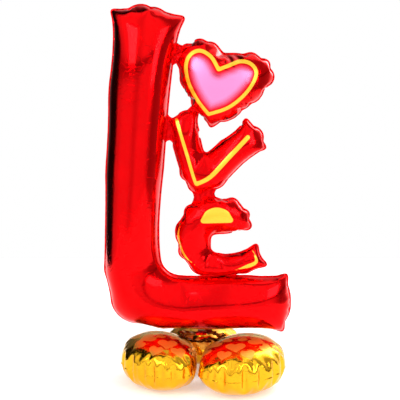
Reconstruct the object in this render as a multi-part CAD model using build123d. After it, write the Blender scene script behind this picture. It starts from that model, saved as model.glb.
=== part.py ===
from build123d import *

import math
import os

# A free-standing air-filled foil balloon. A tall letter L carries a heart, a letter V and a small
# letter e, stacked up beside its stem, and stands on a three-lobed gold foil base.
# Every chamber is two sheets of film welded round their edge. The letters' welds lie in the
# plane Y = 0 and the base's weld lies level. The film is drawn thicker than it is.
# Millimetres, +X to the reader's right, +Y to the back, +Z up, the floor at Z = 0.

# Film and welds
FILM = 1.0  # drawn thickness of one sheet
WELD = 0.5  # drawn thickness of one sheet in a flat weld
SEAM_MARGIN = 4.0  # width of the flat weld outside each chamber
GAP = 0.3  # clearance between pieces that rest or fold on each other
SWAY_GAP = 0.6  # clearance of a web from the chamber that it sways against

# Base: three lobes, (x, y) of each centre and its radius in plan
BASE_SEAM_Z = 88.0
LOBE_HALF_HEIGHT = 91.0
LOBE_RIM_RADIUS = 72.0  # how tightly a lobe turns over at its weld
LEFT_LOBE = (-120.0, -45.0, 182.0)
RIGHT_LOBE = (130.0, -75.0, 193.0)
REAR_LOBE = (8.0, 110.0, 170.0)

# Neck: gathered foil between the lobes that holds the letters
NECK_X = 5.0
NECK_HALF_WIDTH = 84.0
NECK_HALF_DEPTH = 46.0
NECK_BORE_RADIUS = 24.0

# Filling tails and the flat one-way valves inside them
TAIL_WIDTH = 40.0
LETTERS_TAIL_LENGTH = 14.0
BASE_TAIL_LENGTH = 72.0
VALVE_WIDTH = 26.0
VALVE_LENGTH = 90.0
VALVE_FILM = 0.4

# Tall letter
LETTERS_TOP_Z = 1391.0
LETTER_RADIUS = 101.0  # of its stem and foot
STEM_FOOT_X = -263.0  # the stem's axis where it would meet the foot's
STEM_LEAN = 3.0  # degrees, top towards +X
CORNER_RADIUS = 128.0  # of the tall letter's centre line
FOOT_END_X = 338.0
END_TAPER = 1.45  # length over which a tube flattens into its end weld, over its radius

# Small e: closed bowl above, open arm below
E_BOWL_RADIUS = 66.0
E_BOWL_LENGTH = 140.0
E_BACK_RADIUS = 60.0
E_ARM_RADIUS = 45.0
E_MOUTH_HEIGHT = 83.0
E_BACK_DROP = 48.0  # the full back's centre below the bowl's
E_ARM_BEND = 105.0  # radius of the arm's centre line
E_ARM_RISE = 14.5  # degrees that the arm's straight end rises
E_ARM_STRAIGHT = 145.0
E_SIDE_GAP = 60.0  # from the tall letter's stem
E_FOOT_GAP = 17.0  # above the tall letter's foot

# V
V_LEFT_RADIUS = 47.0
V_RIGHT_RADIUS = 55.0
V_POINT_RADIUS = 58.0
V_LEFT_ARM = (-47.0, 230.0)  # from the point's centre to the arm's end weld
V_RIGHT_ARM = (219.0, 168.0)
V_SIDE_GAP = 12.0  # from the tall letter's stem
V_E_GAP = 16.0  # above the e

# Heart, as two tapered lobes and the middle between them
HEART_LOBE_RADIUS = 82.0
HEART_MIDDLE_RADIUS = 85.0
HEART_TIP_RADIUS = 12.0
HEART_TIP_SPREAD = 5.0
HEART_TIP_FROM_V = (48.0, -30.0)  # from the right-hand corner of the left arm's end weld
HEART_LEFT_LOBE = (-30.0, 216.0)  # from the tip
HEART_RIGHT_LOBE = (151.0, 166.0)
HEART_MIDDLE = (54.0, 159.0)

# Webs: flat foil between neighbouring chambers, as the width and height of the sheet that
# spans the gap, before the chambers are cut from it
WEB_THICKNESS = 1.0
L_TO_HEART_WEB = (40.0, 70.0)
L_TO_HEART_RAISE = 30.0  # above the heart's left lobe's centre
L_TO_V_WEB = (50.0, 116.0)
L_TO_V_DROP = 46.0  # below the left arm's end weld
HEART_TO_V_WEB = (62.0, 64.0)
HEART_TO_V_SHIFT = (20.0, 2.0)  # from the left arm's end weld
HEART_TO_V_TURN = 30.0  # degrees
V_TO_E_WEB = (92.0, 60.0)
V_TO_E_SHIFT = 26.0  # right of the V's point
E_TO_L_WEB = (150.0, 44.0)
E_TO_L_SHIFT = 105.0  # right of the e's back

FAR = 4000.0  # larger than the whole balloon

# ---- places worked out from the sizes above ----

LOBES = (LEFT_LOBE, RIGHT_LOBE, REAR_LOBE)
LOBE_TOP_Z = BASE_SEAM_Z + LOBE_HALF_HEIGHT
FOOT_Z = LOBE_TOP_Z + GAP + SEAM_MARGIN + LETTER_RADIUS
FOOT_TOP_Z = FOOT_Z + LETTER_RADIUS
LEAN = math.tan(math.radians(STEM_LEAN))


def stem_x(z):
    """X of the stem's axis at height z."""
    return STEM_FOOT_X + LEAN * (z - FOOT_Z)


def stem_right(z):
    """X of the stem's right-hand seam at height z."""
    return stem_x(z) + LETTER_RADIUS / math.cos(math.radians(STEM_LEAN))


def point(x, z):
    """A point in the letters' seam plane."""
    return Vector(x, 0, z)


E_ARM_Z = FOOT_TOP_Z + E_FOOT_GAP + E_ARM_RADIUS
E_BOWL_Z = E_ARM_Z + E_ARM_RADIUS + E_MOUTH_HEIGHT + E_BOWL_RADIUS
E_BACK_X = stem_right(E_BOWL_Z) + E_SIDE_GAP + E_BACK_RADIUS
E_TOP_Z = E_BOWL_Z + E_BOWL_RADIUS

V_POINT_Z = E_TOP_Z + V_E_GAP + V_POINT_RADIUS
V_LEFT_END_Z = V_POINT_Z + V_LEFT_ARM[1]
V_LEFT_END_X = stem_right(V_LEFT_END_Z) + V_SIDE_GAP + V_LEFT_RADIUS
V_POINT_X = V_LEFT_END_X - V_LEFT_ARM[0]

HEART_TIP_X = V_LEFT_END_X + V_LEFT_RADIUS + HEART_TIP_FROM_V[0]
HEART_TIP_Z = V_LEFT_END_Z + HEART_TIP_FROM_V[1]


# ---- chamber shapes; grow adds to every radius, so it also gives the inside and the weld ----


def end_wedge(place, length, radius, grow):
    """The block that flattens a tube into its end weld; place's X runs along the tube."""
    slant = math.atan(1 / END_TAPER)
    half_depth = radius + grow + FILM
    tip = length + grow / math.sin(slant)
    shoulder = tip - half_depth / math.tan(slant)
    outline = Polyline(
        (shoulder, half_depth),
        (tip, 0),
        (shoulder, -half_depth),
        (-FAR, -half_depth),
        (-FAR, half_depth),
        close=True,
    )
    block = extrude(make_face(outline), FAR, both=True)
    return place * block


def tube_end(start, end, radius, grow):
    """The wedge for a tube that ends at the point end, coming from start."""
    line = end - start
    seam_normal = line.cross(Vector(0, 1, 0))
    place = Plane(origin=start, x_dir=line, z_dir=seam_normal)
    return end_wedge(place, line.length, radius, grow)


def past_end():
    """How far a tube's path runs past its end weld, so that the weld's outline reaches it."""
    return SEAM_MARGIN / math.sin(math.atan(1 / END_TAPER)) + FILM


def round_tube(path, radius, grow):
    """A round tube along a path of lines and arcs."""
    section = Plane(origin=path @ 0, z_dir=path % 0) * Circle(radius + grow)
    return sweep(section, path=path)


def tapered_capsule(start, start_radius, end, end_radius, grow):
    """Two balls and the cone that touches both, as one turned solid."""
    line = end - start
    first = start_radius + grow
    last = end_radius + grow
    slope = math.asin((last - first) / line.length)
    side = math.pi / 2 + slope

    def on_ball(centre, radius, angle):
        return (centre + radius * math.cos(angle), radius * math.sin(angle))

    outline = [
        ThreePointArc(
            on_ball(0, first, math.pi),
            on_ball(0, first, (math.pi + side) / 2),
            on_ball(0, first, side),
        ),
        Line(on_ball(0, first, side), on_ball(line.length, last, side)),
        ThreePointArc(
            on_ball(line.length, last, side),
            on_ball(line.length, last, side / 2),
            on_ball(line.length, last, 0),
        ),
        Line(on_ball(line.length, last, 0), on_ball(0, first, math.pi)),
    ]
    place = Plane(origin=start, x_dir=line, z_dir=(0, 1, 0))
    return place * revolve(make_face(outline), Axis.X)


def letter_l(grow):
    """The tall letter: a leaning stem, a rounded corner and a level foot."""
    top = point(stem_x(LETTERS_TOP_Z), LETTERS_TOP_Z)
    corner = point(STEM_FOOT_X, FOOT_Z)
    end = point(FOOT_END_X, FOOT_Z)
    path_top = top + (top - corner).normalized() * past_end()
    path_end = end + point(past_end(), 0)
    path = FilletPolyline(path_top, corner, path_end, radius=CORNER_RADIUS)
    shape = round_tube(path, LETTER_RADIUS, grow)
    shape &= tube_end(corner, top, LETTER_RADIUS, grow)
    return shape & tube_end(corner, end, LETTER_RADIUS, grow)


def letter_e(grow):
    """The small letter: a closed bowl and the arm that curves round below it."""
    bowl_start = point(E_BACK_X, E_BOWL_Z)
    bowl_end = point(E_BACK_X + E_BOWL_LENGTH, E_BOWL_Z)
    shape = tapered_capsule(bowl_start, E_BOWL_RADIUS, bowl_end, E_BOWL_RADIUS, grow)
    shape += Pos(point(E_BACK_X, E_BOWL_Z - E_BACK_DROP)) * Sphere(E_BACK_RADIUS + grow)
    middle = point(E_BACK_X - E_BACK_RADIUS + E_ARM_RADIUS + E_ARM_BEND, E_ARM_Z + E_ARM_BEND)
    arc = Plane(origin=middle, x_dir=(1, 0, 0), z_dir=(0, -1, 0)) * CenterArc(
        (0, 0), E_ARM_BEND, 180, 90 + E_ARM_RISE
    )
    straight_start = arc @ 1
    direction = arc % 1
    end = straight_start + direction * E_ARM_STRAIGHT
    path = Wire([arc, Line(straight_start, end + direction * past_end())])
    arm = round_tube(path, E_ARM_RADIUS, grow)
    arm &= tube_end(straight_start, end, E_ARM_RADIUS, grow)
    return shape + arm


def letter_v(grow):
    """The V: two tubes that meet in a round point."""
    vertex = point(V_POINT_X, V_POINT_Z)
    shape = Pos(vertex) * Sphere(V_POINT_RADIUS + grow)
    for arm, radius in ((V_LEFT_ARM, V_LEFT_RADIUS), (V_RIGHT_ARM, V_RIGHT_RADIUS)):
        end = vertex + point(*arm)
        path = Line(vertex, end + point(*arm).normalized() * past_end())
        tube = round_tube(path, radius, grow)
        shape += tube & tube_end(vertex, end, radius, grow)
    return shape


def heart(grow):
    """The heart: two tapered lobes from one tip, and the full middle between them."""
    tip = point(HEART_TIP_X, HEART_TIP_Z)
    left = tip + point(*HEART_LEFT_LOBE)
    right = tip + point(*HEART_RIGHT_LOBE)
    right_tip = tip + point(HEART_TIP_SPREAD, 0)
    shape = tapered_capsule(tip, HEART_TIP_RADIUS, left, HEART_LOBE_RADIUS, grow)
    shape += tapered_capsule(right_tip, HEART_TIP_RADIUS, right, HEART_LOBE_RADIUS, grow)
    middle = tip + point(*HEART_MIDDLE)
    middle_tip = tip + point(HEART_TIP_SPREAD / 2, HEART_TIP_SPREAD)
    shape += tapered_capsule(middle_tip, HEART_TIP_RADIUS, middle, HEART_MIDDLE_RADIUS, grow)
    return shape


def lobe_outline(radius, grow):
    """Half of a lobe's section: a low crown above and below, and a tight round rim."""
    rim = LOBE_RIM_RADIUS + grow
    half_height = LOBE_HALF_HEIGHT + grow
    rim_x = radius - LOBE_RIM_RADIUS
    crown = (rim_x**2 + half_height**2 - rim**2) / (2 * (half_height - rim))
    turn = math.atan2(rim_x, crown - half_height)

    def on_crown(angle, side):
        height = half_height - crown + crown * math.cos(angle)
        return (crown * math.sin(angle), side * height)

    upper = ThreePointArc(on_crown(0, 1), on_crown(turn / 2, 1), on_crown(turn, 1))
    edge = ThreePointArc(on_crown(turn, 1), (rim_x + rim, 0), on_crown(turn, -1))
    lower = ThreePointArc(on_crown(turn, -1), on_crown(turn / 2, -1), on_crown(0, -1))
    return Plane.XZ * make_face([upper, edge, lower, Line(on_crown(0, -1), on_crown(0, 1))])


def base_lobes(grow):
    """The base's three flattened lobes, run together, flat where they stand on the floor."""
    shape = None
    for x, y, radius in LOBES:
        lobe = Pos(x, y, BASE_SEAM_Z) * revolve(lobe_outline(radius, grow), Axis.Z)
        shape = lobe if shape is None else shape + lobe
    above_floor = Pos(0, 0, -min(grow, 0)) * Box(
        FAR, FAR, FAR, align=(Align.CENTER, Align.CENTER, Align.MIN)
    )
    return shape & above_floor


# ---- pieces ----


def half_space(direction, thickness=FAR):
    """The block on one side of the letters' seam plane, -1 in front and 1 behind."""
    return Pos(0, direction * thickness / 2, 0) * Box(FAR, thickness, 2 * FAR)


def letter_sheets(chamber, name):
    """The front and back sheets of one letter, each with its half of the flat weld."""
    outside = chamber(0)
    inside = chamber(-FILM)
    weld = chamber(SEAM_MARGIN)
    sheets = {}
    for side, direction in (("front", -1), ("back", 1)):
        dome = outside & half_space(direction)
        rim = weld & half_space(direction, WELD)
        sheets[f"{name}_{side}_sheet"] = dome + rim - inside
    return sheets


def base_sheets():
    """The base's upper and lower sheets."""
    outside = base_lobes(0)
    inside = base_lobes(-FILM)
    weld = base_lobes(SEAM_MARGIN)
    sheets = {}
    for side, align, direction in (("upper", Align.MIN, 1), ("lower", Align.MAX, -1)):
        at_seam = Pos(0, 0, BASE_SEAM_Z)
        half = at_seam * Box(FAR, FAR, FAR, align=(Align.CENTER, Align.CENTER, align))
        strip = at_seam * Box(FAR, FAR, WELD, align=(Align.CENTER, Align.CENTER, align))
        sheets[f"base_{side}_sheet"] = (outside & half) + (weld & strip) - inside
    return sheets


def web(centre, size, turn, own, other):
    """A flat foil web, welded to its own chamber and clear of the other one."""
    width, height = size
    plate = Pos(centre) * Rot(0, turn, 0) * Box(width, WEB_THICKNESS, height)
    plate = plate - own(SEAM_MARGIN) - other(SEAM_MARGIN + SWAY_GAP)
    return max(plate.solids(), key=lambda piece: piece.volume)


def neck():
    """The gathered foil that fills the hollow between the lobes, with room for the tail."""
    collar = Pos(NECK_X, 0, 0) * extrude(Ellipse(NECK_HALF_WIDTH, NECK_HALF_DEPTH), LOBE_TOP_Z)
    bore = Pos(NECK_X, 0, 0) * Cylinder(NECK_BORE_RADIUS, FAR)
    collar = collar - base_lobes(0) - bore
    return [piece for piece in collar.solids() if piece.center().Z > BASE_SEAM_Z]


def letters_tail():
    """The letters' filling tail, hanging from the foot's lower seam into the neck."""
    top = FOOT_Z - LETTER_RADIUS - SEAM_MARGIN
    return Pos(NECK_X, 0, top - LETTERS_TAIL_LENGTH / 2) * Box(
        TAIL_WIDTH, 2 * WELD, LETTERS_TAIL_LENGTH
    )


def letters_valve():
    """The flat one-way valve inside the foot, above the tail."""
    bottom = FOOT_Z - LETTER_RADIUS + FILM + GAP
    return Pos(NECK_X, 0, bottom + VALVE_LENGTH / 2) * Box(VALVE_WIDTH, VALVE_FILM, VALVE_LENGTH)


def rear_edge():
    """Y of the rear lobe's outermost point."""
    return REAR_LOBE[1] + REAR_LOBE[2]


def base_tail():
    """The base's filling tail, hanging from the rear lobe's weld."""
    y = rear_edge() + SEAM_MARGIN + GAP + WELD
    z = BASE_SEAM_Z - BASE_TAIL_LENGTH / 2
    return Pos(REAR_LOBE[0], y, z) * Box(TAIL_WIDTH, 2 * WELD, BASE_TAIL_LENGTH)


def base_valve():
    """The flat one-way valve inside the rear lobe."""
    sag = REAR_LOBE[2] - math.sqrt(REAR_LOBE[2] ** 2 - (VALVE_WIDTH / 2) ** 2)
    outer = rear_edge() - FILM - GAP - sag
    return Pos(REAR_LOBE[0], outer - VALVE_LENGTH / 2, BASE_SEAM_Z) * Box(
        VALVE_WIDTH, VALVE_LENGTH, VALVE_FILM
    )


def webs():
    """The five webs, each on the chamber that it moves with."""
    vertex = point(V_POINT_X, V_POINT_Z)
    left_end = point(V_LEFT_END_X, V_LEFT_END_Z)
    left_lobe = point(HEART_TIP_X, HEART_TIP_Z) + point(*HEART_LEFT_LOBE)
    lobe_edge = left_lobe.X - HEART_LOBE_RADIUS
    between = (stem_right(left_lobe.Z) + lobe_edge) / 2
    lobe_side = point(between, left_lobe.Z + L_TO_HEART_RAISE)
    v_side = left_end - point(V_LEFT_RADIUS + V_SIDE_GAP / 2, L_TO_V_DROP)
    shoulder = left_end + point(*HEART_TO_V_SHIFT)
    v_foot = vertex + point(V_TO_E_SHIFT, -V_POINT_RADIUS - V_E_GAP / 2)
    e_foot = point(E_BACK_X + E_TO_L_SHIFT, FOOT_TOP_Z + E_FOOT_GAP / 2)
    return {
        "l_to_heart_web": web(lobe_side, L_TO_HEART_WEB, 0, heart, letter_l),
        "l_to_v_web": web(v_side, L_TO_V_WEB, 0, letter_v, letter_l),
        "heart_to_v_web": web(shoulder, HEART_TO_V_WEB, HEART_TO_V_TURN, heart, letter_v),
        "v_to_e_web": web(v_foot, V_TO_E_WEB, 0, letter_e, letter_v),
        "e_to_l_web": web(e_foot, E_TO_L_WEB, 0, letter_e, letter_l),
    }


def model():
    """Every piece by name."""
    pieces = {}
    pieces.update(letter_sheets(letter_l, "letter_l"))
    pieces.update(letter_sheets(letter_v, "letter_v"))
    pieces.update(letter_sheets(letter_e, "letter_e"))
    pieces.update(letter_sheets(heart, "heart"))
    pieces.update(base_sheets())
    pieces.update(webs())
    pieces["base_neck"] = Compound(children=neck())
    pieces["letters_fill_tail"] = letters_tail()
    pieces["letters_fill_valve"] = letters_valve()
    pieces["base_fill_tail"] = base_tail()
    pieces["base_fill_valve"] = base_valve()
    return pieces


os.makedirs("parts", exist_ok=True)
for node, shape in model().items():
    export_step(shape, f"parts/{node}.step")
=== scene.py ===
import logging
import math
from dataclasses import dataclass, field, replace
from enum import Enum

import bpy
import numpy as np
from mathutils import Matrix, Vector
from mathutils.geometry import delaunay_2d_cdt


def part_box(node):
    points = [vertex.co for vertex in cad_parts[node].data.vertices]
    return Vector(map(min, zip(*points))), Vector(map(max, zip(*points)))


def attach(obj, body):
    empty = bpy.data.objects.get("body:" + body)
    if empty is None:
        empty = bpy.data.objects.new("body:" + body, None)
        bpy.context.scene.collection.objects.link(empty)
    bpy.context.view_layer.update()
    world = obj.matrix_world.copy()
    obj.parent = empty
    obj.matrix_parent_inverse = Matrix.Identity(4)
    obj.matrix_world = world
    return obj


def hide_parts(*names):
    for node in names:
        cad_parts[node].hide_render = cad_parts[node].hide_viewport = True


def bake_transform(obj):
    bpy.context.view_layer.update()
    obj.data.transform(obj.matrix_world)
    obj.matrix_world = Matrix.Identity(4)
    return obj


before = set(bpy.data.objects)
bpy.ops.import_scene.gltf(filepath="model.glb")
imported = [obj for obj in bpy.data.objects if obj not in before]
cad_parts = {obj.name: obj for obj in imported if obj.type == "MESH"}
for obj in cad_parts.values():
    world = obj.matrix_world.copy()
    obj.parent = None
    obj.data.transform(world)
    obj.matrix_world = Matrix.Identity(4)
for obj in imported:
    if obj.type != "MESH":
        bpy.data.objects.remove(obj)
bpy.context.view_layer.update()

LOG = logging.getLogger("balloon")
SEED = 7
BLOCK = 2000  # points measured at a time
PAIRS = ((0, 1), (1, 2), (2, 0), (1, 0), (2, 1), (0, 2))  # every way along a triangle's sides
WELD_WIDTH = 0.005
WELD_FILM = 0.0004  # half a weld's thickness where it leaves the seam
RUFFLES = ((0.0009, 0.0047, 0.0), (0.0007, 0.0113, 1.3))  # a weld's: height, length, phase
FILM = 0.0006  # thickness of a single film

Point2 = tuple[float, float]
Corner = tuple[float, float, float]


class Plane(Enum):
    """The plane that a chamber's weld lies in."""

    UPRIGHT = "upright"
    LEVEL = "level"


# ---- outlines ----


def rounded_outline(corners: list[Corner], spacing: float) -> np.ndarray:
    """A closed outline with rounded corners, as evenly spaced points.

    Args:
        corners: Each corner's two coordinates and its radius.
        spacing: The distance between points.

    Returns:
        The points, one row each.
    """
    places = [np.array(corner[:2], float) for corner in corners]
    points = []
    for index, (_, _, radius) in enumerate(corners):
        here = places[index]
        before = places[index - 1] - here
        after = places[(index + 1) % len(places)] - here
        before /= np.linalg.norm(before)
        after /= np.linalg.norm(after)
        half = math.acos(float(np.clip(before @ after, -1, 1))) / 2
        middle = before + after
        if np.linalg.norm(middle) < 1e-3:
            points.append(here)
            continue
        centre = here + middle / np.linalg.norm(middle) * radius / math.sin(half)
        reach = radius / math.tan(half)
        first = here + before * reach - centre
        last = here + after * reach - centre
        start = math.atan2(first[1], first[0])
        turn = (math.atan2(last[1], last[0]) - start + math.pi) % (2 * math.pi) - math.pi
        steps = max(2, int(abs(turn) * radius / (spacing / 3)) + 1)
        for step in range(steps + 1):
            angle = start + turn * step / steps
            points.append(centre + radius * np.array([math.cos(angle), math.sin(angle)]))
    return even_points(np.array(points), spacing, closed=True)


def even_points(points: np.ndarray, spacing: float, closed: bool) -> np.ndarray:
    """The same line with its points evenly spaced.

    Args:
        points: The line's points, one row each.
        spacing: The distance wanted between points.
        closed: Whether the last point joins the first.

    Returns:
        The new points, one row each.
    """
    line = np.vstack([points, points[:1]]) if closed else points
    along = np.concatenate([[0], np.cumsum(np.linalg.norm(np.diff(line, axis=0), axis=1))])
    count = max(3, round(along[-1] / spacing))
    wanted = np.linspace(0, along[-1], count + 1)[: count if closed else count + 1]
    return np.stack([np.interp(wanted, along, line[:, axis]) for axis in range(line.shape[1])], 1)


def rounded(ring: np.ndarray) -> np.ndarray:
    """A closed line's values, each evened out a little with its two neighbours'."""
    return (np.roll(ring, 1, 0) + 2 * ring + np.roll(ring, -1, 0)) / 4


def inside_outline(points: np.ndarray, outline: np.ndarray) -> np.ndarray:
    """Which points lie inside a closed outline.

    Args:
        points: The points to test.
        outline: The outline's points in order.

    Returns:
        One truth value for each point.
    """
    x, y = points[:, 0][:, None], points[:, 1][:, None]
    x0, y0 = outline[:, 0], outline[:, 1]
    x1, y1 = np.roll(x0, -1), np.roll(y0, -1)
    rise = np.where(y1 == y0, 1e-12, y1 - y0)
    crossed = ((y0 > y) != (y1 > y)) & (x < (x1 - x0) * (y - y0) / rise + x0)
    return crossed.sum(axis=1) % 2 == 1


def distance_to_line(points: np.ndarray, line: np.ndarray, closed: bool) -> np.ndarray:
    """How far each point is from a line of straight pieces.

    Args:
        points: The points to test.
        line: The line's points in order.
        closed: Whether the last point joins the first.

    Returns:
        One distance for each point.
    """
    ends = np.roll(line, -1, 0) if closed else line[1:]
    starts = line if closed else line[:-1]
    spans = ends - starts
    squared = (spans * spans).sum(1)
    nearest = np.empty(len(points))
    for first in range(0, len(points), BLOCK):
        some = points[first : first + BLOCK, None]
        share = np.clip(((some - starts) * spans).sum(2) / squared, 0, 1)
        gaps = starts + spans * share[..., None] - some
        nearest[first : first + BLOCK] = np.sqrt((gaps * gaps).sum(2)).min(1)
    return nearest


def heart_outline(width: float, height: float, count: int = 60) -> np.ndarray:
    """A plain heart, its tip towards minus Y, centred on the origin.

    Args:
        width: Its width.
        height: Its height.
        count: How many points it has.

    Returns:
        The points, one row each.
    """
    turn = np.linspace(0, 2 * math.pi, count, endpoint=False)
    x = np.sin(turn) ** 3
    y = (13 * np.cos(turn) - 5 * np.cos(2 * turn) - 2 * np.cos(3 * turn) - np.cos(4 * turn)) / 29
    return np.stack([x * width / 2, (y + 0.086) * height], 1)


# ---- the foil's shape under air pressure ----


@dataclass(frozen=True)
class Stage:
    """One stage of the inflation."""

    steps: int
    rounds: int
    pressure: float
    glide: float


INFLATION = (Stage(40, 12, 0.03, 0.95), Stage(20, 25, 0.01, 0.85), Stage(15, 40, 0.003, 0.7))


@dataclass
class FlatPattern:
    """A chamber's two flat sheets, triangulated, sharing the points of their weld.

    Its points are (across, depth, up), with the sheets at depth zero.
    """

    outline: np.ndarray
    spacing: float
    row_step: float = 0.866
    jitter: float = 0.22
    edge_clearance: float = 0.62
    points: np.ndarray = field(init=False)
    faces: np.ndarray = field(init=False)
    front_count: int = field(init=False)

    def __post_init__(self) -> None:
        """Triangulates the outline and doubles it."""
        flat, triangles = self.triangulate()
        ring = len(self.outline)
        self.front_count = len(flat)
        level = np.zeros(len(flat))
        front = np.stack([flat[:, 0], level, flat[:, 1]], 1)
        mirror = np.concatenate([np.arange(ring), np.arange(len(flat), 2 * len(flat) - ring)])
        self.points = np.vstack([front, front[ring:]])
        self.faces = np.vstack([triangles, mirror[triangles][:, ::-1]])

    def triangulate(self) -> tuple[np.ndarray, np.ndarray]:
        """Fills the outline with triangles of about one size.

        Returns:
            The points, with the outline's own first, and the triangles' corners.
        """
        draw = np.random.default_rng(SEED)
        low, high = self.outline.min(0), self.outline.max(0)
        rows = []
        for row, y in enumerate(np.arange(low[1], high[1], self.spacing * self.row_step)):
            x = np.arange(low[0] + self.spacing / 2 * (row % 2), high[0], self.spacing)
            rows.append(np.stack([x, np.full_like(x, y)], 1))
        grid = np.vstack(rows)
        grid += draw.uniform(-self.jitter, self.jitter, grid.shape) * self.spacing
        grid = grid[inside_outline(grid, self.outline)]
        away = distance_to_line(grid, self.outline, closed=True)
        clear = away > self.edge_clearance * self.spacing
        ring = len(self.outline)
        points = np.vstack([self.outline, grid[clear]])
        edges = [(index, (index + 1) % ring) for index in range(ring)]
        passes = 4
        for turn in range(passes):
            found = delaunay_2d_cdt([Vector(point) for point in points], edges, [], 1, 1e-7)
            points = np.array([tuple(point) for point in found[0]])
            triangles = np.array([tuple(face) for face in found[2]])
            if turn < passes - 1:
                total = np.zeros_like(points)
                count = np.zeros(len(points))
                for a, b in PAIRS:
                    np.add.at(total, triangles[:, a], points[triangles[:, b]])
                    np.add.at(count, triangles[:, a], 1)
                points[ring:] = (total / count[:, None])[ring:]
        first, second, third = (points[triangles[:, corner]] for corner in range(3))
        turned = np.cross(second - first, third - first) < 0
        triangles[turned] = triangles[turned][:, ::-1]
        return points, triangles

    def seam_distance(self) -> np.ndarray:
        """How far each point of the flat pattern is from the weld."""
        flat = self.points[:, [0, 2]]
        return distance_to_line(flat, self.outline, closed=True)

    def domed(self, radius: float) -> np.ndarray:
        """The points lifted off the weld's plane by a round profile.

        Args:
            radius: The chamber's half depth.

        Returns:
            The lifted points.
        """
        share = np.clip(self.seam_distance() / (radius * math.pi / 2), 0, 1)
        lift = radius * np.sqrt(1 - (1 - share) ** 2)
        lifted = self.points.copy()
        lifted[: self.front_count, 1] = -lift[: self.front_count]
        lifted[self.front_count :, 1] = lift[self.front_count :]
        return lifted


@dataclass
class FoilSolver:
    """Blows up a flat pattern of film that folds freely but doesn't stretch."""

    pattern: FlatPattern
    fold_stiffness: float = 0.1
    correction: float = 0.9
    push_spread: float = 1.7
    memory: float = 0.97
    plain_rounds: int = 3
    slack: np.ndarray = field(init=False)
    first: np.ndarray = field(init=False)
    second: np.ndarray = field(init=False)
    lengths: np.ndarray = field(init=False)
    edge_count: int = field(init=False)

    def __post_init__(self) -> None:
        """Lists the film's edges, and the pairs of corners across each edge."""
        faces = self.pattern.faces
        count = len(self.pattern.points)
        ends = np.vstack([faces[:, [0, 1]], faces[:, [1, 2]], faces[:, [2, 0]]])
        across = np.concatenate([faces[:, 2], faces[:, 0], faces[:, 1]])
        low, high = ends.min(1), ends.max(1)
        order = np.argsort(low * count + high, kind="stable")
        low, high, across = low[order], high[order], across[order]
        first, second = low[0::2], high[0::2]
        fold_first, fold_second = across[0::2], across[1::2]
        self.edge_count = len(first)
        self.first = np.concatenate([first, fold_first])
        self.second = np.concatenate([second, fold_second])
        flat = self.pattern.points
        self.lengths = np.linalg.norm(flat[self.second] - flat[self.first], axis=1)
        used = np.bincount(np.concatenate([first, second]), minlength=count)
        self.slack = (self.correction / used)[:, None]

    def push(self, points: np.ndarray, amount: float) -> np.ndarray:
        """How far the air moves each point.

        Args:
            points: The film's points.
            amount: The pressure, as a share of the film's triangle size.

        Returns:
            One move for each point.
        """
        faces = self.pattern.faces
        sides = points[faces]
        normals = np.cross(sides[:, 1] - sides[:, 0], sides[:, 2] - sides[:, 0])
        corners = faces.ravel()
        scale = amount / (self.push_spread * self.pattern.spacing)
        moves = np.empty_like(points)
        for axis in range(3):
            shares = np.repeat(normals[:, axis], 3)
            moves[:, axis] = np.bincount(corners, shares, minlength=len(points)) * scale
        return moves

    def pull(self, points: np.ndarray) -> np.ndarray:
        """One round of drawing stretched edges back to their lengths.

        Args:
            points: The film's points.

        Returns:
            The corrected points.
        """
        spans = points[self.second] - points[self.first]
        now = np.sqrt(np.einsum("ij,ij->i", spans, spans)) + 1e-12
        over = now - self.lengths
        weight = np.where(over > 0, 1.0, 0.0)
        weight[self.edge_count :] = np.where(over[self.edge_count :] < 0, self.fold_stiffness, 0)
        spans *= (0.5 * over * weight / now)[:, None]
        moved = np.empty_like(points)
        for axis in range(3):
            gained = np.bincount(self.first, spans[:, axis], minlength=len(points))
            lost = np.bincount(self.second, spans[:, axis], minlength=len(points))
            moved[:, axis] = gained - lost
        return points + moved * self.slack

    def inflate(self, stages: tuple[Stage, ...] = INFLATION) -> np.ndarray:
        """Runs the inflation.

        Args:
            stages: The pressures to go through.

        Returns:
            The inflated points.
        """
        points = self.pattern.domed(self.pattern.spacing)
        speed = np.zeros_like(points)
        for stage in stages:
            for _ in range(stage.steps):
                start = points
                points = start + stage.glide * speed + self.push(start, stage.pressure)
                before, weight = points, 1.0
                for turn in range(stage.rounds):
                    target = self.pull(points)
                    if turn == self.plain_rounds:
                        weight = 2 / (2 - self.memory**2)
                    elif turn > self.plain_rounds:
                        weight = 4 / (4 - self.memory**2 * weight)
                    if turn >= self.plain_rounds:
                        target = weight * (target - before) + before
                    before, points = points, target
                speed = points - start
        return points


# ---- finishes ----


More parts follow.
